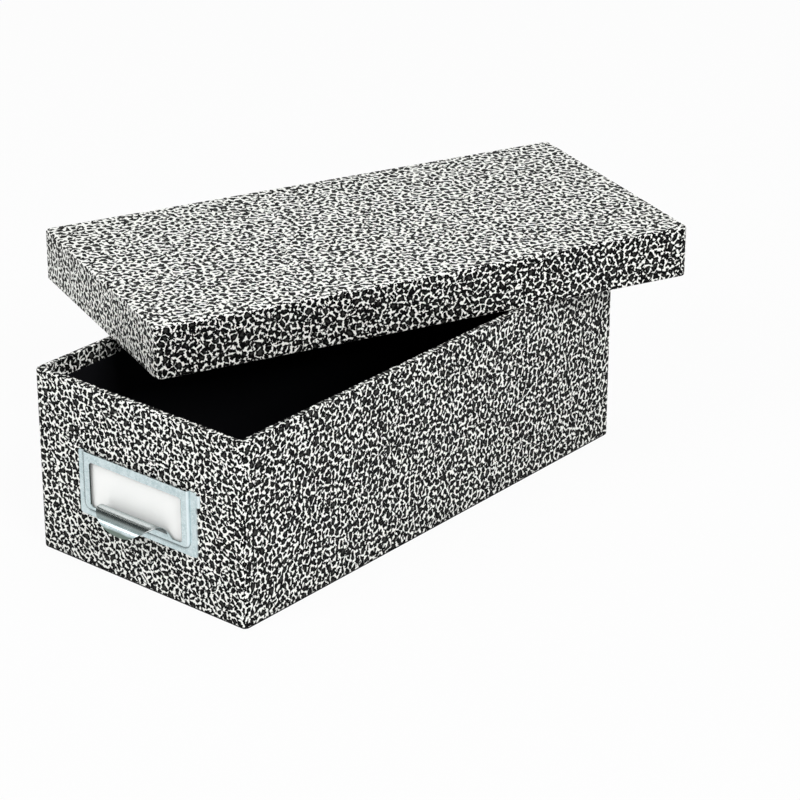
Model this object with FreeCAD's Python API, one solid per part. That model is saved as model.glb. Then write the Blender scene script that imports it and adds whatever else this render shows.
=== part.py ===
import FreeCAD, Part
import math
import os

from FreeCAD import Placement, Rotation, Vector

# A covered box for small record cards: an open tray of rigid board, a lift-off lid of the same
# make, and a pressed steel label holder with a curled finger pull.
# Millimetres, +Z up. The origin is the centre of the tray's underside, and the label end of the
# tray faces -Y. The lid is off its seat: it lies turned across the tray's rim.

# The tray, outside its covering paper
tray_width = 137.0
tray_length = 287.0
tray_height = 97.0

# Board and papers
board_thickness = 3.0
cover_thickness = 0.25
lining_thickness = 0.2
stay_thickness = 0.12
stay_leg = 15.0
corner_radius = 3.0
edge_radius = 1.1
rim_turn_in = 9.0
underside_turn_in = 14.0

# The lid, and how it lies across the tray
lid_height = 27.4
lid_clearance = 1.75
lid_turn_degrees = -23.0
lid_offset_x = -21.0
lid_offset_y = 49.0

# The label holder: a steel plate with a raised pocket that is open at its top
sheet_thickness = 0.8
holder_width = 78.0
holder_height = 34.4
holder_bottom = 28.8
holder_corner_radius = 1.6
pocket_side_step = 4.2
pocket_bottom_step = 3.9
pocket_depth = 1.5
pocket_corner_radius = 3.6
pocket_edge_radius = 1.2
window_width = 61.0
window_height = 23.8
window_sill = 6.0
window_corner_radius = 1.8

# The finger pull: the metal of the window, folded out and curled down
pull_root_width = 48.0
pull_width = 38.4
pull_flat_length = 22.0
pull_curl_radius = 6.3
pull_root_share = 0.134
pull_side_shares = (0.413, 0.608)
pull_tip_share = 0.51

# The prongs that clinch the holder to the tray's front wall
prong_width = 6.4
prong_shoulder = 2.0
prong_bend_radius = 1.0
prong_clinch = 6.0
prong_below_top = 4.4
slot_clearance = 0.2

# The label card
card_thickness = 0.3
card_side_clearance = 0.35
card_back_clearance = 0.15
card_below_top = 1.2
card_seat_clearance = 0.1

# One overrun for every cut
overrun = 2.0

full_turn_degrees = 360.0
half = 0.5
same_direction = 1


def is_upright(edge):
    """True for an edge that runs along Z."""
    box = edge.BoundBox
    return box.ZLength > box.XLength + box.YLength


def block(width, length, low, high, radius=0.0):
    """An upright block about the Z axis, its upright edges rounded where a radius is given."""
    corner = Vector(-width * half, -length * half, low)
    shape = Part.makeBox(width, length, high - low, corner)
    if radius > 0:
        shape = shape.makeFillet(radius, [edge for edge in shape.Edges if is_upright(edge)])
    return shape


def soft_block(width, length, low, high, radius, edge):
    """As block, with its top and bottom edges rounded too."""
    shape = block(width, length, low, high, radius)
    flat_edges = [one for one in shape.Edges if one.BoundBox.ZLength < edge]
    return shape.makeFillet(edge, flat_edges)


def joined(shapes):
    """One solid out of several that touch or overlap."""
    first = shapes[0]
    return first.multiFuse(shapes[1:]).removeSplitter()


def wall_stack():
    """How thick a wall is inside its covering paper's outer face: cover, board and lining."""
    return cover_thickness + board_thickness + lining_thickness


def open_box(width, length, height):
    """The boards, corner stays and papers of one box that stands mouth up on z = 0."""
    board_width = width - 2 * cover_thickness
    board_length = length - 2 * cover_thickness
    board_radius = corner_radius - cover_thickness
    inner_width = board_width - 2 * board_thickness
    inner_length = board_length - 2 * board_thickness
    board_top = height - cover_thickness
    base_top = cover_thickness + board_thickness

    pieces = {}
    outline = soft_block(
        board_width, board_length, cover_thickness, board_top, board_radius, edge_radius - cover_thickness
    )
    pieces["base_board"] = outline.common(block(width, length, 0, base_top))

    # The front and back boards run the full width, and the side boards stand between them
    for name, side in (("front_board", -1), ("back_board", 1)):
        slab = Part.makeBox(board_width, board_thickness, board_top - base_top)
        middle = side * (inner_length + board_thickness) * half
        slab.translate(Vector(-board_width * half, middle - board_thickness * half, base_top))
        pieces[name] = slab.common(outline)
    for name, side in (("left_board", -1), ("right_board", 1)):
        slab = Part.makeBox(board_thickness, inner_length, board_top - base_top)
        middle = side * (inner_width + board_thickness) * half
        slab.translate(Vector(middle - board_thickness * half, -inner_length * half, base_top))
        pieces[name] = slab.common(outline)

    # A strip of gummed paper holds each upright corner, outside the boards and under the cover
    sleeve = block(
        board_width + 2 * stay_thickness, board_length + 2 * stay_thickness,
        base_top, height - edge_radius, board_radius + stay_thickness,
    ).cut(outline)
    for end, y_side in (("front", -1), ("back", 1)):
        for flank, x_side in (("left", -1), ("right", 1)):
            corner = Part.makeBox(2 * stay_leg, 2 * stay_leg, height)
            x_middle = x_side * board_width * half
            y_middle = y_side * board_length * half
            corner.translate(Vector(x_middle - stay_leg, y_middle - stay_leg, 0))
            pieces["%s_%s_stay" % (end, flank)] = sleeve.common(corner)

    # The cover goes over the whole outside and the rim, and turns down inside the walls
    lined_width = inner_width - 2 * lining_thickness
    lined_length = inner_length - 2 * lining_thickness
    wrap = soft_block(width, length, 0, height, corner_radius, edge_radius)
    mouth = block(lined_width, lined_length, base_top, height + overrun)
    turned = mouth.common(block(width, length, height - rim_turn_in, height))
    turned = turned.cut(
        block(lined_width - 2 * cover_thickness, lined_length - 2 * cover_thickness, 0, height + overrun)
    )
    lining = block(inner_width, inner_length, base_top, board_top)
    wrap = joined([wrap.cut(joined([outline, mouth, lining])), turned])
    pieces["cover"] = wrap.cut([pieces[name] for name in pieces if name.endswith("_stay")])

    # The linings: one band round the walls and one sheet on the base
    pieces["wall_lining"] = lining.cut(mouth)
    pieces["base_lining"] = block(lined_width, lined_length, base_top, base_top + lining_thickness)
    return pieces


def underside_parts(cover):
    """Opens the tray's cover underneath, and fills the opening with its own sheet of paper."""
    sheet = block(
        tray_width - 2 * underside_turn_in, tray_length - 2 * underside_turn_in, 0, cover_thickness
    )
    return cover.cut(sheet), sheet


def front_slab(x_low, x_high, out_low, out_high, z_low, z_high):
    """A block in front of the tray's front face, out being the distance from that face."""
    corner = Vector(x_low, -tray_length * half - out_high, z_low)
    return Part.makeBox(x_high - x_low, out_high - out_low, z_high - z_low, corner)


def edges_through(shape, x_sides, z_levels):
    """The edges square to the front face that stand at the given places."""
    found = []
    for edge in shape.Edges:
        box = edge.BoundBox
        square = box.YLength > box.XLength + box.ZLength
        if square and any(abs(box.XMin - x) < sheet_thickness for x in x_sides):
            if any(abs(box.ZMin - z) < sheet_thickness for z in z_levels):
                found.append(edge)
    return found


def pocket_block(inset, out_high, top, radius):
    """The raised pocket's block, or its hollow where an inset is given."""
    side = holder_width * half - pocket_side_step - inset
    low = holder_bottom + pocket_bottom_step + inset
    shape = front_slab(-side, side, 0, out_high, low, top)
    return shape.makeFillet(radius, edges_through(shape, (-side, side), (low,)))


def raised_pocket():
    """The pocket's outer skin with its pressed edge rounded at both sides and the bottom."""
    out = pocket_depth + sheet_thickness
    top = holder_bottom + holder_height
    shape = pocket_block(0, out, top, pocket_corner_radius)
    face_y = -tray_length * half - out
    pressed = []
    for edge in shape.Edges:
        box = edge.BoundBox
        on_face = box.YMax < face_y + pocket_edge_radius * half
        if on_face and box.ZMin < top - pocket_edge_radius:
            pressed.append(edge)
    return shape.makeFillet(pocket_edge_radius, pressed)


def pull_outline(surface):
    """The pull's outline, laid out flat and wrapped on a curl surface: along it, then across it."""
    first_share, last_share = pull_side_shares
    root = (0, pull_root_width)
    flare = [root, (pull_root_share, pull_width), (first_share, pull_width)]
    tip = [(first_share, pull_width), (last_share, pull_width), (1, pull_width * pull_tip_share), (1, 0)]

    def pole(spot, side):
        share, width = spot
        angle = share * pull_flat_length / pull_curl_radius
        return FreeCAD.Base.Vector2d(angle, side * width * half)

    edges = [Part.Geom2d.Line2dSegment(pole(root, -1), pole(root, 1)).toShape(surface)]
    for side in (1, -1):
        for run in (flare, tip):
            curve = Part.Geom2d.BezierCurve2d()
            curve.setPoles([pole(spot, side) for spot in run])
            edges.append(curve.toShape(surface))
    return edges


def finger_pull():
    """The tongue that curls out and down from the window's sill, as one bent sheet."""
    faces = []
    outlines = []
    for radius in (pull_curl_radius - sheet_thickness * half, pull_curl_radius + sheet_thickness * half):
        surface = Part.Cylinder()
        surface.Radius = radius
        edges = pull_outline(surface)
        face = Part.Face(surface, Part.Wire(Part.__sortEdges__(edges)))
        face.validate()
        faces.append(face)
        outlines.append(edges)
    for inner, outer in zip(outlines[0], outlines[1]):
        faces.append(Part.makeRuledSurface(inner, outer, same_direction))
    tongue = Part.Solid(Part.Shell(faces))

    # The curl's axis runs along X, and the tongue leaves the sill upwards
    third_turn = Rotation(Vector(1, 1, 1), full_turn_degrees / 3)
    root_out = pocket_depth + sheet_thickness * half
    axis_y = -tray_length * half - root_out - pull_curl_radius
    tongue.Placement = Placement(Vector(0, axis_y, holder_bottom + window_sill), third_turn)
    return tongue


def bent_strip(points, across):
    """A strip of the holder's sheet, bent along a path, its width lying along one direction."""
    edges = []
    start = points[0]
    for before, corner, after in zip(points, points[1:], points[2:]):
        back = (before - corner).normalize()
        ahead = (after - corner).normalize()
        bend_in = corner + back * prong_bend_radius
        bend_out = corner + ahead * prong_bend_radius
        centre = corner + (back + ahead) * prong_bend_radius
        middle = centre + (corner - centre).normalize() * prong_bend_radius
        edges.append(Part.LineSegment(start, bend_in).toShape())
        edges.append(Part.Arc(bend_in, middle, bend_out).toShape())
        start = bend_out
    edges.append(Part.LineSegment(start, points[-1]).toShape())
    path = Part.Wire(edges)

    first_run = (points[1] - points[0]).normalize()
    thick = first_run.cross(across) * (sheet_thickness * half)
    wide = across * (prong_width * half)
    corners = [points[0] + thick + wide, points[0] - thick + wide]
    corners += [points[0] - thick - wide, points[0] + thick - wide]
    section = Part.makePolygon(corners + corners[:1])
    return path.makePipeShell([section], True, False)


def prong_spots():
    """Each prong's foot: its place, its way out and its width's direction.

    The right prong stands out past the holder's edge. The left and the bottom one are set in, so
    that the margin hides them and their slots.
    """
    side = holder_width * half
    set_in = prong_shoulder + slot_clearance
    middle_y = -tray_length * half - sheet_thickness * half
    side_z = holder_bottom + holder_height - prong_below_top
    return [
        (Vector(set_in - side, middle_y, side_z), Vector(-1, 0, 0), Vector(0, 0, 1)),
        (Vector(side, middle_y, side_z), Vector(1, 0, 0), Vector(0, 0, 1)),
        (Vector(0, middle_y, holder_bottom + set_in), Vector(0, 0, -1), Vector(1, 0, 0)),
    ]


def prong(foot, way, across):
    """Out from its foot, back through the wall, and clinched flat against the lining."""
    start = foot - way * sheet_thickness
    shoulder = foot + way * (prong_shoulder - sheet_thickness * half)
    inward = Vector(0, wall_stack() + sheet_thickness, 0)
    return bent_strip([start, shoulder, shoulder + inward, shoulder + inward - way * prong_clinch], across)


def prong_slot(foot, way, across):
    """The slot that a prong passes through, from before the cover to behind the lining."""
    near = foot + way * (prong_shoulder - sheet_thickness * half - prong_bend_radius)
    far = foot + way * (prong_shoulder + slot_clearance)
    reach = across * (prong_width * half + slot_clearance)
    depth = Vector(0, wall_stack() + overrun, 0)
    face_y = Vector(0, sheet_thickness * half - overrun * half, 0)
    bounds = FreeCAD.BoundBox()
    for corner in (near + reach, near - reach, far + reach, far - reach):
        bounds.add(corner + face_y)
        bounds.add(corner + face_y + depth)
    return Part.makeBox(
        bounds.XLength, bounds.YLength, bounds.ZLength, Vector(bounds.XMin, bounds.YMin, bounds.ZMin)
    )


def label_holder():
    """The pressed steel holder: flat margin, raised pocket, window, curled pull and prongs."""
    side = holder_width * half
    top = holder_bottom + holder_height
    margin = front_slab(-side, side, 0, sheet_thickness, holder_bottom, top)
    corners = edges_through(margin, (-side, side), (holder_bottom, top))
    margin = margin.makeFillet(holder_corner_radius, corners)
    hollow = pocket_block(
        sheet_thickness, pocket_depth, top + overrun, pocket_corner_radius - sheet_thickness
    )

    sill = holder_bottom + window_sill
    reach = window_width * half
    window = front_slab(-reach, reach, 0, pocket_depth + overrun, sill, sill + window_height)
    upper_corners = edges_through(window, (-reach, reach), (sill, sill + window_height))
    window = window.makeFillet(window_corner_radius, upper_corners)

    plate = margin.fuse(raised_pocket()).cut([hollow, window])
    prongs = [prong(*spot) for spot in prong_spots()]
    return joined([plate, finger_pull()] + prongs)


def label_card():
    """The paper card that slides down into the holder's pocket from above."""
    reach = holder_width * half - pocket_side_step - sheet_thickness - card_side_clearance
    low = holder_bottom + pocket_bottom_step + sheet_thickness + card_seat_clearance
    high = holder_bottom + holder_height - card_below_top
    front = card_back_clearance + card_thickness
    card = front_slab(-reach, reach, card_back_clearance, front, low, high)
    radius = pocket_corner_radius - sheet_thickness
    return card.makeFillet(radius, edges_through(card, (-reach, reach), (low,)))


def tray_parts():
    """Every piece of the tray by its node name."""
    box = open_box(tray_width, tray_length, tray_height)
    slots = [prong_slot(*spot) for spot in prong_spots()]
    for name in ("front_board", "cover", "wall_lining"):
        box[name] = box[name].cut(slots)
    box["cover"], box["underside_sheet"] = underside_parts(box["cover"])
    box["floor_board"] = box.pop("base_board")
    box["floor_lining"] = box.pop("base_lining")
    return {"tray_" + name: shape for name, shape in box.items()}


def lid_parts():
    """Every piece of the lid by its node name, turned mouth down and laid across the rim."""
    overlap = 2 * (wall_stack() + cover_thickness + lid_clearance)
    box = open_box(tray_width + overlap, tray_length + overlap, lid_height)
    box["top_board"] = box.pop("base_board")
    box["top_lining"] = box.pop("base_lining")
    turned = Placement(
        Vector(lid_offset_x, lid_offset_y, tray_height), Rotation(Vector(0, 0, 1), lid_turn_degrees)
    )
    placed = {}
    for name, shape in box.items():
        over = shape.mirror(Vector(0, 0, 0), Vector(0, 0, 1))
        over.translate(Vector(0, 0, lid_height))
        over.Placement = turned.multiply(over.Placement)
        placed["lid_" + name] = over
    return placed


parts = {**tray_parts(), "label_holder": label_holder(), "label_card": label_card(), **lid_parts()}
os.makedirs("parts", exist_ok=True)
for name, shape in parts.items():
    print("%-26s solids %d  volume %.1f" % (name, len(shape.Solids), shape.Volume))
    shape.exportStep("parts/%s.step" % name)
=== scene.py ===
import math
import bpy
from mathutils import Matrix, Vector


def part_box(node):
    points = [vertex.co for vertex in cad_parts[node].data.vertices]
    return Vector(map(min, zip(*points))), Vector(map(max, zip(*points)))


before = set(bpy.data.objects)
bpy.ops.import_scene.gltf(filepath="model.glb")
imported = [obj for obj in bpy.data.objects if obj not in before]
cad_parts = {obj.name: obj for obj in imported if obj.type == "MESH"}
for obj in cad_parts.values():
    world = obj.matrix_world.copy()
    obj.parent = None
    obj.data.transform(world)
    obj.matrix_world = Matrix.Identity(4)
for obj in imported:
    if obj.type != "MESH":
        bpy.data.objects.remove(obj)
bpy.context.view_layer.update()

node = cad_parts


# Tray boards. The tray is five pieces of grey chipboard, cut and glued at the edges: a floor, two
# end walls that run the full width and two side walls between them. Paper covers all of them, so
# the board only has to read as pressed waste paper where a node is looked at alone.

millimetre = 0.001
board_dark = (0.30, 0.285, 0.26)
board_pale = (0.50, 0.48, 0.44)
board_fleck = (0.16, 0.15, 0.14)


def new_finish(name):
    """An empty finish by its name, ready for its parts."""
    finish = bpy.data.materials.new(name)
    finish.use_nodes = True
    finish.node_tree.nodes.clear()
    return finish


def put(tree, kind, inputs=None, **settings):
    """Adds one node. Its inputs are values, or outputs of other nodes."""
    made = tree.nodes.new(kind)
    for setting, value in settings.items():
        setattr(made, setting, value)
    for socket, value in (inputs or {}).items():
        if isinstance(value, bpy.types.NodeSocket):
            tree.links.new(value, made.inputs[socket])
        else:
            made.inputs[socket].default_value = value
    return made


def calc(tree, operation, *values, held=False):
    """One sum of numbers, held between 0 and 1 if asked."""
    inputs = dict(enumerate(values))
    return put(tree, "ShaderNodeMath", inputs, operation=operation, use_clamp=held).outputs[0]


def move(tree, operation, *values):
    """One sum of vectors."""
    inputs = dict(enumerate(values))
    return put(tree, "ShaderNodeVectorMath", inputs, operation=operation).outputs["Vector"]


def in_millimetres(tree):
    """Where a point of the piece is, in millimetres of the part's own frame."""
    place = put(tree, "ShaderNodeTexCoord").outputs["Object"]
    return move(tree, "DIVIDE", place, (millimetre, millimetre, millimetre))


def cloud(tree, place, per_mm, octaves=0.0, flat=False, shift=0.0):
    """Soft noise with so many lumps to the millimetre, taken from its own stretch of the field."""
    shifted = move(tree, "ADD", place, (shift, 0.7 * shift, 0.3 * shift))
    inputs = {"Vector": shifted, "Scale": per_mm, "Detail": octaves}
    return put(tree, "ShaderNodeTexNoise", inputs, noise_dimensions="2D" if flat else "3D")


def ramp(tree, amount, begins, whole):
    """0 where the amount is at its beginning, 1 where it is whole, and straight between."""
    inputs = {"Value": amount, "From Min": begins, "From Max": whole}
    return put(tree, "ShaderNodeMapRange", inputs).outputs["Result"]


def between(tree, share, low, high):
    """A number between two numbers."""
    return calc(tree, "MULTIPLY_ADD", share, high - low, low)


def blend(tree, share, first, second):
    """A colour between two colours."""
    made = put(tree, "ShaderNodeMix", {"Factor": share}, data_type="RGBA")
    for socket, colour in ((made.inputs["A"], first), (made.inputs["B"], second)):
        if isinstance(colour, bpy.types.NodeSocket):
            tree.links.new(colour, socket)
        else:
            socket.default_value = (*colour, 1)
    return made.outputs["Result"]


def raise_by(tree, height, millimetres):
    """The dents and lumps of a surface, from a height between 0 and 1."""
    inputs = {"Height": height, "Distance": millimetres * millimetre}
    return put(tree, "ShaderNodeBump", inputs).outputs["Normal"]


def close_finish(finish, inputs):
    """Ends a finish in its surface."""
    tree = finish.node_tree
    surface = put(tree, "ShaderNodeBsdfPrincipled", inputs)
    put(tree, "ShaderNodeOutputMaterial", {"Surface": surface.outputs["BSDF"]})
    return finish


def dress(piece, finish):
    """Gives one piece one finish."""
    piece.data.materials.clear()
    piece.data.materials.append(finish)


def grey_board():
    """Pressed waste paper: warm grey, with darker and paler flecks and a dull felted face."""
    finish = new_finish("grey_board")
    tree = finish.node_tree
    place = in_millimetres(tree)
    felt = cloud(tree, place, per_mm=0.9, octaves=3.0).outputs["Fac"]
    fleck = cloud(tree, place, per_mm=2.2, octaves=1.0, shift=40).outputs["Fac"]
    grey = blend(tree, felt, board_dark, board_pale)
    return close_finish(finish, {
        "Base Color": blend(tree, ramp(tree, fleck, 0.66, 0.74), grey, board_fleck),
        "Roughness": between(tree, felt, 0.80, 0.95),
        "Normal": raise_by(tree, felt, 0.12),
    })


board_finish = grey_board()
for name in ("floor", "front", "back", "left", "right"):
    dress(node["tray_%s_board" % name], board_finish)


# Tray corner stays. A strip of brown gummed paper, 30 mm wide, is folded over each upright corner
# before the cover goes on, and holds the walls together.

gummed_dark = (0.30, 0.19, 0.10)
gummed_pale = (0.52, 0.37, 0.22)
upright_fibre = (1.0, 1.0, 0.18)


def gummed_paper():
    """Brown paper with long upright fibres and a slight shine from the gum."""
    finish = new_finish("gummed_paper")
    tree = finish.node_tree
    drawn_out = move(tree, "MULTIPLY", in_millimetres(tree), upright_fibre)
    fibre = cloud(tree, drawn_out, per_mm=1.4, octaves=3.0).outputs["Fac"]
    return close_finish(finish, {
        "Base Color": blend(tree, fibre, gummed_dark, gummed_pale),
        "Roughness": between(tree, fibre, 0.45, 0.65),
        "Normal": raise_by(tree, fibre, 0.05),
    })


stay_finish = gummed_paper()
for end in ("front", "back"):
    for flank in ("left", "right"):
        dress(node["tray_%s_%s_stay" % (end, flank)], stay_finish)


# Tray linings. One band of thin black paper is glued round inside the walls and one sheet on the
# floor, so the inside is dull black with a trace of paper grain.

lining_dark = (0.002, 0.002, 0.003)
lining_pale = (0.007, 0.007, 0.009)


def black_paper():
    """Thin black paper: deep black, faintly mottled, with fine fibres and slow waves from the glue."""
    finish = new_finish("black_paper")
    tree = finish.node_tree
    place = in_millimetres(tree)
    fibre = cloud(tree, place, per_mm=3.0, octaves=2.0).outputs["Fac"]
    wave = cloud(tree, place, per_mm=0.05, octaves=1.0, shift=15).outputs["Fac"]
    return close_finish(finish, {
        "Base Color": blend(tree, fibre, lining_dark, lining_pale),
        "Roughness": between(tree, fibre, 0.60, 0.80),
        "Specular IOR Level": 0.12,
        "Normal": raise_by(tree, calc(tree, "MULTIPLY_ADD", wave, 3.0, fibre), 0.04),
    })


lining_finish = black_paper()
for name in ("tray_wall_lining", "tray_floor_lining"):
    dress(node[name], lining_finish)


# Tray cover. One strip of marbled paper goes round all four walls, laps at the back, and turns in
# over the rim and under the floor. It is printed black with a net of crooked white veins about
# 1 mm wide, and the black patches between them are 2 to 4 mm across.

patch_pitch = 3.5
vein_half_width = 0.365
painted_light_widening = 0.18
print_blur = 0.1
ink_black = (0.001, 0.001, 0.0013)
ink_grey = (0.038, 0.038, 0.036)
bare_dull = (0.87, 0.87, 0.835)
bare_bright = (0.95, 0.95, 0.915)
contact_shadow_height = 1.3
contact_shadow_blur = 0.2
squarely = 0.7
upwards_share = 0.89
front_painted_light = 0.4

# Where a vein's break and a patch's heart begin, and where each is whole
vein_break = (0.36, 0.30)
patch_heart = (1.25, 1.55)

# Each has its size in millimetres, its lumps to the millimetre and its own stretch of the field
net_bends = ((1.4, 0.3, 11), (0.85, 0.78, 5), (0.4, 1.9, 27))
vein_swells = ((1.5, 0.53, 3), (0.45, 1.7, 33))


def veins(tree, across, up, painted_light_share):
    """The sheet laid out flat, 1 on its veins and 0 on its patches, and the way to a vein's middle."""
    sheet = put(tree, "ShaderNodeCombineXYZ", {"X": across, "Y": up}).outputs["Vector"]
    bent = sheet
    for size, per_mm, shift in net_bends:
        push = cloud(tree, bent, per_mm, flat=True, shift=shift).outputs["Color"]
        push = move(tree, "MULTIPLY_ADD", push, (size, size, 0), (-size / 2, -size / 2, 0))
        bent = move(tree, "ADD", bent, push)
    net = put(
        tree, "ShaderNodeTexVoronoi", {"Vector": bent, "Scale": 1 / patch_pitch},
        feature="DISTANCE_TO_EDGE", voronoi_dimensions="2D",
    )
    away = calc(tree, "MULTIPLY", net.outputs["Distance"], patch_pitch)
    # Painted light: where the unrolling asks for it, the veins are drawn wider, so that side of the paper
    # looks more brightly lit.
    width = calc(tree, "MULTIPLY_ADD", painted_light_share, painted_light_widening, vein_half_width)
    for size, per_mm, shift in vein_swells:
        swell = cloud(tree, sheet, per_mm, flat=True, shift=shift).outputs["Fac"]
        width = calc(tree, "MULTIPLY_ADD", calc(tree, "SUBTRACT", swell, 0.5), size, width)

    # Here and there a vein is broken off, and two patches run together
    broken = cloud(tree, sheet, per_mm=0.6, flat=True, shift=51).outputs["Fac"]
    width = calc(tree, "SUBTRACT", width, ramp(tree, broken, *vein_break))
    vein = ramp(tree, calc(tree, "SUBTRACT", width, away), -print_blur, print_blur)
    return sheet, vein, away


def x_y_z(tree, vector):
    """The three parts of a point or of a direction."""
    split = put(tree, "ShaderNodeSeparateXYZ", {"Vector": vector})
    return [split.outputs[axis] for axis in "XYZ"]


def facing(tree):
    """Which way the surface of a piece faces, in the part's own frame."""
    return put(tree, "ShaderNodeTexCoord").outputs["Normal"]


def marbled_paper(name, unrolled, shadow_foot=None):
    """The printed paper, unrolled by the way its piece was covered, with a painted contact shadow that
    blackens it up to its foot's height.
    """
    finish = new_finish(name)
    tree = finish.node_tree
    sheet, vein, away = veins(tree, *unrolled(tree))
    # Painted contact shadow: below the foot's height the white veins fade out, so the bottom edge is
    # painted black.
    if shadow_foot:
        height = x_y_z(tree, in_millimetres(tree))[2]
        above_contact_shadow = ramp(tree, height, shadow_foot - contact_shadow_blur, shadow_foot + contact_shadow_blur)
        vein = calc(tree, "MULTIPLY", vein, above_contact_shadow)

    # The ink is thinner in the heart of a large patch
    fibre = cloud(tree, sheet, per_mm=2.6, octaves=2.0, flat=True, shift=70).outputs["Fac"]
    deep_in = calc(tree, "MULTIPLY", away, calc(tree, "ADD", fibre, 0.5))
    ink = blend(tree, ramp(tree, deep_in, *patch_heart), ink_black, ink_grey)
    bare = blend(tree, fibre, bare_dull, bare_bright)
    return close_finish(finish, {
        "Base Color": blend(tree, vein, ink, bare),
        "Roughness": between(tree, vein, 0.50, 0.62),
        "Specular IOR Level": 0.04,
        "Normal": raise_by(tree, calc(tree, "MULTIPLY_ADD", vein, -0.6, fibre), 0.03),
    })


def round_the_walls(tree):
    """The strip runs round the walls, and lies flat where it turns in on the rim and underneath."""
    x, y, z = x_y_z(tree, in_millimetres(tree))
    sideways, lengthways, upwards = x_y_z(tree, facing(tree))
    lying = calc(tree, "GREATER_THAN", calc(tree, "ABSOLUTE", upwards), squarely)
    standing = calc(tree, "SUBTRACT", 1.0, lying)
    across = calc(tree, "MULTIPLY_ADD", y, standing, x)
    up = calc(tree, "ADD", calc(tree, "MULTIPLY", y, lying), calc(tree, "MULTIPLY", z, standing))

    # On the long walls the print is drawn out upwards, and the front is painted a little paler with wider
    # veins: painted light, as if that side were lit more brightly
    long_wall = calc(tree, "GREATER_THAN", calc(tree, "ABSOLUTE", sideways), squarely)
    up = calc(tree, "MULTIPLY", up, between(tree, long_wall, 1.0, upwards_share))
    painted_light_share = calc(tree, "MULTIPLY", lengthways, -front_painted_light, held=True)
    return across, up, painted_light_share


dress(node["tray_cover"], marbled_paper("marbled_paper_tray", round_the_walls, shadow_foot=contact_shadow_height))


# Tray underside sheet. A sheet of the same black paper as the lining is glued on last underneath,
# and hides the turned-in edges of the cover.
dress(node["tray_underside_sheet"], lining_finish)


# Label holder. It is cut and pressed in one stroke from 0.8 mm steel and then plated bright: a
# flat margin, a raised pocket and a pull curled down from the window. Three prongs on its edges go
# through slots in the front wall and are clinched inside.

wall_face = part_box("tray_cover")[0][1] / millimetre
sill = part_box("label_holder")[0][2] / millimetre + 6.0
window_width = 61.0
window_height = 23.8
window_corner_radius = 1.8
cut_edge_depth = 0.12
pocket_face = wall_face - 2.3
right_of_window = 32.0
curl_axis = wall_face - 8.2
curl_inner_radius = 5.9
plating_dull = (0.52, 0.63, 0.65)
plating_clear = (0.64, 0.74, 0.76)
plating_speckle = (0.68, 0.79, 0.80)
painted_tip_shade = (0.17, 0.22, 0.19)
painted_crest_highlight = (0.86, 0.90, 0.90)
painted_curl_shade = (0.07, 0.085, 0.08)
painted_edge_shade = (0.035, 0.035, 0.03)
painted_shadow_colour = (0.06, 0.08, 0.08)
painted_side_light = (0.80, 0.88, 0.90)
painted_light_from = (0.41, -0.82, 0.41)
rolled_sideways = (0.25, 1.0, 5.0)

# Where the pull's front, tip and crest begin, and where each is whole
pull_front = (wall_face - 6.0, wall_face - 8.0)
pull_tip = (sill + 1.9, sill + 0.8)
pull_crest = (sill + 3.5, sill + 5.5)


def least(tree, *amounts):
    """The smallest of several amounts."""
    low = amounts[0]
    for amount in amounts[1:]:
        low = calc(tree, "MINIMUM", low, amount)
    return low


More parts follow.
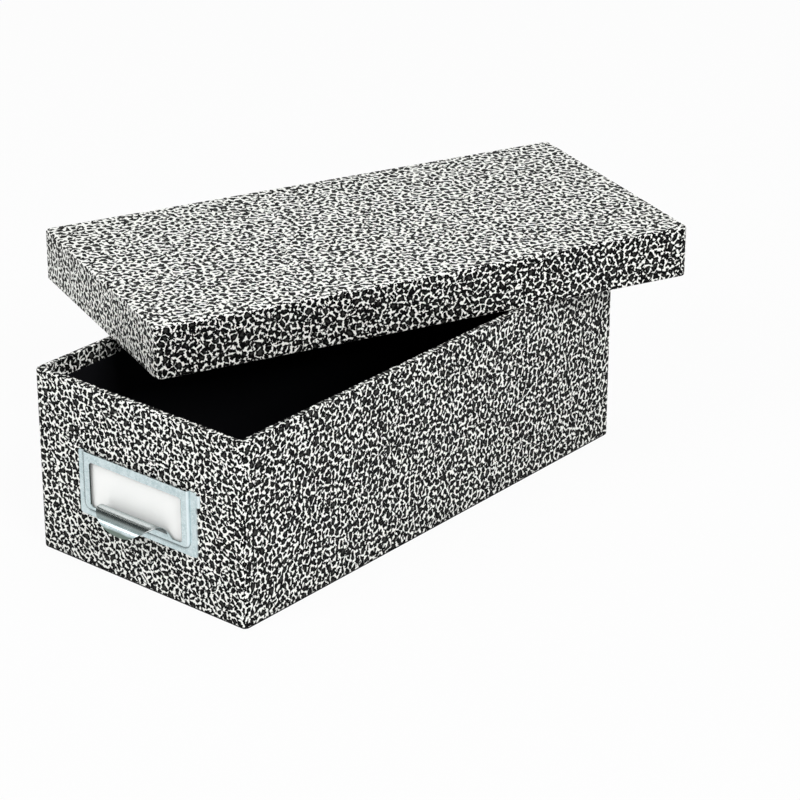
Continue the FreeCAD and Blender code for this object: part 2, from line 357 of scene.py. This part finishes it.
def plated_steel():
    """Bright plating on rolled steel: cool, softly clouded, with painted shadow in the pressed corners
    and painted shade and highlights on the pull.
    """
    finish = new_finish("plated_steel")
    tree = finish.node_tree
    place = in_millimetres(tree)
    x, y, z = x_y_z(tree, place)
    clouded = cloud(tree, place, per_mm=0.22, octaves=3.0).outputs["Fac"]
    drawn_out = move(tree, "MULTIPLY", place, rolled_sideways)
    rolled = cloud(tree, drawn_out, per_mm=1.2, octaves=2.0).outputs["Fac"]
    speckled = cloud(tree, place, per_mm=1.1, octaves=1.0, shift=9).outputs["Fac"]
    steel = blend(tree, ramp(tree, clouded, 0.35, 0.65), plating_dull, plating_clear)
    steel = blend(tree, ramp(tree, speckled, 0.50, 0.80), steel, plating_speckle)

    # The tip of the pull is painted dark, a painted reflection of shade, and is made rougher
    ahead = ramp(tree, y, *pull_front)
    painted_light_share = least(tree, ramp(tree, calc(tree, "ADD", z, clouded), *pull_tip), ahead)
    steel = blend(tree, painted_light_share, steel, painted_tip_shade)

    # Its crest is painted bright as a painted highlight, and inside the curl the steel is painted dark as
    # painted shade
    crest_highlight = least(tree, ramp(tree, z, *pull_crest), ahead)
    steel = blend(tree, crest_highlight, steel, painted_crest_highlight)
    from_axis = move(tree, "SUBTRACT", place, (0.0, curl_axis, sill))
    from_axis = move(tree, "MULTIPLY", from_axis, (0.0, 1.0, 1.0))
    reach = put(tree, "ShaderNodeVectorMath", {0: from_axis}, operation="LENGTH").outputs["Value"]
    inside = calc(tree, "LESS_THAN", reach, curl_inner_radius + 0.2)
    curl_shade = least(tree, inside, calc(tree, "LESS_THAN", y, pocket_face - 0.3))
    steel = blend(tree, curl_shade, steel, painted_curl_shade)

    # The upright edges of the window are painted near black: painted shade of the recess behind them
    half_upright = window_height / 2 - window_corner_radius / 2
    at_the_side = calc(tree, "COMPARE", calc(tree, "ABSOLUTE", x), window_width / 2, cut_edge_depth)
    upright = calc(tree, "COMPARE", z, sill + window_height / 2, half_upright)
    steel = blend(tree, least(tree, at_the_side, upright), steel, painted_edge_shade)

    # Painted shadow left of the pocket and under it: occlusion taken towards the upper right, as if lit
    # from there, darkens the steel
    painted_light_way = put(tree, "ShaderNodeCombineXYZ", dict(zip("XYZ", painted_light_from))).outputs["Vector"]
    directional_occlusion = put(
        tree, "ShaderNodeAmbientOcclusion", {"Distance": 3.0 * millimetre, "Normal": painted_light_way},
        only_local=True, samples=16,
    )
    painted_shadow = calc(tree, "MULTIPLY", ramp(tree, directional_occlusion.outputs["AO"], 0.86, 0.64), 0.9)
    steel = blend(tree, painted_shadow, steel, painted_shadow_colour)

    # The right side of the pocket's step is painted paler as painted light, and is made rougher
    turned_right = ramp(tree, x_y_z(tree, facing(tree))[0], 0.15, 0.60)
    right_side_lit = least(tree, turned_right, calc(tree, "GREATER_THAN", x, right_of_window))
    steel = blend(tree, right_side_lit, steel, painted_side_light)
    rough = between(tree, clouded, 0.08, 0.20)
    for share, rougher in ((right_side_lit, 0.5), (painted_light_share, 0.25), (rolled, 0.08)):
        rough = calc(tree, "MULTIPLY_ADD", share, rougher, rough)
    return close_finish(finish, {
        "Base Color": steel,
        "Metallic": 1.0,
        "Roughness": rough,
        "Normal": raise_by(tree, calc(tree, "MULTIPLY_ADD", speckled, 1.5, rolled), 0.004),
    })


dress(node["label_holder"], plated_steel())


# Label card. A blank slip of stiff white card stands in the holder's pocket, and slides out at its
# open top.

card_dull = (0.95, 0.95, 0.935)
card_bright = (0.97, 0.97, 0.96)


def white_card():
    """Smooth white card with a very fine tooth."""
    finish = new_finish("white_card")
    tree = finish.node_tree
    place = in_millimetres(tree)
    tooth = cloud(tree, place, per_mm=4.0, octaves=2.0).outputs["Fac"]
    shade = cloud(tree, place, per_mm=0.08, octaves=2.0, shift=22).outputs["Fac"]
    return close_finish(finish, {
        "Base Color": blend(tree, shade, card_dull, card_bright),
        "Roughness": between(tree, tooth, 0.60, 0.72),
        "Normal": raise_by(tree, tooth, 0.015),
    })


dress(node["label_card"], white_card())


# Lid boards and corner stays. The lid is made as the tray is, from the same board: a top with four
# skirts glued under it, and gummed paper at each corner.
for name in ("top", "front", "back", "left", "right"):
    dress(node["lid_%s_board" % name], board_finish)
for end in ("front", "back"):
    for flank in ("left", "right"):
        dress(node["lid_%s_%s_stay" % (end, flank)], stay_finish)


# Lid linings. A band of the same black paper as in the tray is glued inside the skirts, and a
# sheet of it under the top.
for name in ("lid_wall_lining", "lid_top_lining"):
    dress(node[name], lining_finish)


# Lid cover. One sheet of the marbled paper lies over the top, comes down over all four skirts, is
# cut and lapped at the corners, and turns in under the skirts' edges.

lid_turn = math.radians(23)
lid_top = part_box("lid_cover")[1][2] / millimetre
halfway_turned = 0.7071
larger_share = 0.87
top_painted_light = 1.65
front_skirt_painted_light = 1.4
painted_shade_kept = 0.25
own_stretch = 500.0


def turned_back(tree, vector):
    """A point or a direction of the lid, as if the lid lay in line with the tray."""
    inputs = {"Vector": vector, "Angle": lid_turn}
    return put(tree, "ShaderNodeVectorRotate", inputs, rotation_type="Z_AXIS").outputs["Vector"]


def over_the_top(tree):
    """The sheet lies flat on the top, and each skirt's paper carries on from the top's edge."""
    x, y, z = x_y_z(tree, turned_back(tree, in_millimetres(tree)))
    sideways, lengthways, upwards = x_y_z(tree, turned_back(tree, facing(tree)))
    down = calc(tree, "SUBTRACT", lid_top, z)

    # On the top the print is a little larger than on the skirts
    on_top = calc(tree, "GREATER_THAN", upwards, squarely)
    larger = between(tree, on_top, 1.0, larger_share)
    laid = []
    for place, side in ((x, sideways), (y, lengthways)):
        outwards = calc(tree, "ROUND", calc(tree, "MULTIPLY", side, halfway_turned))
        unfolded = calc(tree, "MULTIPLY_ADD", down, outwards, place)
        laid.append(calc(tree, "MULTIPLY", unfolded, larger))

    # The top and the front skirt are painted paler with wider veins, and the other skirts darker with
    # more ink: painted light and shade for how the lamps fall on them
    painted_light_share = calc(tree, "MULTIPLY", upwards, top_painted_light)
    painted_light_share = calc(tree, "MULTIPLY_ADD", lengthways, -front_skirt_painted_light, painted_light_share)
    painted_light_share = calc(tree, "SUBTRACT", calc(tree, "MAXIMUM", painted_light_share, 0.0), painted_shade_kept)
    return calc(tree, "ADD", laid[0], own_stretch), laid[1], painted_light_share


dress(node["lid_cover"], marbled_paper("marbled_paper_lid", over_the_top))


# Floor and daylight. A wide white table top carries the box. It is seen as plain white, straight,
# in the plating or through glass, while the box still shades it. The room round it has pale walls,
# greyer higher up, and a dim ceiling, which the plating mirrors as its darker bands.

table_radius = 30.0
table_white = (0.65, 0.65, 0.65, 1)
plain_white = (1, 1, 1, 1)
plain_share = 0.95
wall_pale = (0.82, 0.82, 0.82)
wall_grey = (0.30, 0.33, 0.32)
ceiling_dim = (0.015, 0.02, 0.02)

# How steeply one looks up where the grey of the walls and the ceiling begin, and are whole
grey_from = (0.33, 0.38)
ceiling_from = (0.66, 0.74)

bpy.ops.mesh.primitive_circle_add(vertices=96, radius=table_radius, fill_type="NGON", location=(0, 0, 0))
table_top = bpy.context.object
table_top.name = "table_top"


def seen_plainly(tree):
    """1 for what the camera sees, straight, in metal or through glass."""
    ray = put(tree, "ShaderNodeLightPath")
    seen = calc(tree, "ADD", ray.outputs["Is Camera Ray"], ray.outputs["Is Glossy Ray"])
    return calc(tree, "ADD", seen, ray.outputs["Is Transmission Ray"], held=True)


def white_table():
    """Matt white, mostly its own plain white where it is seen, so that its shadow is faint."""
    finish = new_finish("white_table")
    tree = finish.node_tree
    matt = put(tree, "ShaderNodeBsdfDiffuse", {"Color": table_white})
    plain = put(tree, "ShaderNodeEmission", {"Color": plain_white, "Strength": 1.0})
    both = put(tree, "ShaderNodeMixShader", {
        "Fac": calc(tree, "MULTIPLY", seen_plainly(tree), plain_share),
        1: matt.outputs["BSDF"],
        2: plain.outputs["Emission"],
    })
    put(tree, "ShaderNodeOutputMaterial", {"Surface": both.outputs["Shader"]})
    return finish


def white_room():
    """The walls and the ceiling of the room, by how steeply one looks up at them."""
    room = bpy.data.worlds.new("white_room")
    room.use_nodes = True
    room.node_tree.nodes.clear()
    tree = room.node_tree
    steepness = x_y_z(tree, put(tree, "ShaderNodeTexCoord").outputs["Generated"])[2]
    walls = blend(tree, ramp(tree, steepness, *grey_from), wall_pale, wall_grey)
    walls_and_ceiling = blend(tree, ramp(tree, steepness, *ceiling_from), walls, ceiling_dim)
    light = put(tree, "ShaderNodeBackground", {"Color": walls_and_ceiling, "Strength": 1.0})
    put(tree, "ShaderNodeOutputWorld", {"Surface": light.outputs["Background"]})
    return room


dress(table_top, white_table())
bpy.context.scene.world = white_room()


# Lamps. Four soft boxes face the middle of the card box. The main one stands high on the right, a
# weaker one high in front lights the label end, and one hangs over the lid. The small one stands
# low on the left, and draws the white line along the pull.

lit_point = Vector((0, 0.03, 0.08))


def soft_box(name, place, width, height, watts):
    """A soft lamp that faces the middle of the box."""
    lamp = bpy.data.lights.new(name, "AREA")
    lamp.shape = "RECTANGLE"
    lamp.size = width
    lamp.size_y = height
    lamp.energy = watts
    stand = bpy.data.objects.new(name, lamp)
    stand.location = place
    stand.rotation_euler = (lit_point - Vector(place)).to_track_quat("-Z", "Y").to_euler()
    bpy.context.scene.collection.objects.link(stand)


soft_box("left_soft_box", (-1.22, -1.62, 0.42), width=0.5, height=0.45, watts=1.3)
soft_box("front_soft_box", (-0.5, -1.65, 1.45), width=0.9, height=0.9, watts=18)
soft_box("right_soft_box", (2.1, -0.8, 1.8), width=1.0, height=1.0, watts=46)
soft_box("top_soft_box", (0.15, 0.35, 1.9), width=1.2, height=1.2, watts=11.5)


# Camera. It looks down on the label end and the right side, with a long lens.

looks_down = math.radians(24.418)
looks_left = math.radians(40.083)

camera = bpy.data.objects.new("camera", bpy.data.cameras.new("camera"))
camera.data.sensor_width = 36
camera.data.lens = 135
camera.data.clip_end = 50
camera.location = (0.9239, -1.0470, 0.6835)
camera.rotation_euler = (math.radians(90) - looks_down, 0, looks_left)
bpy.context.scene.collection.objects.link(camera)
bpy.context.scene.camera = camera
bpy.context.scene.view_settings.view_transform = "Standard"
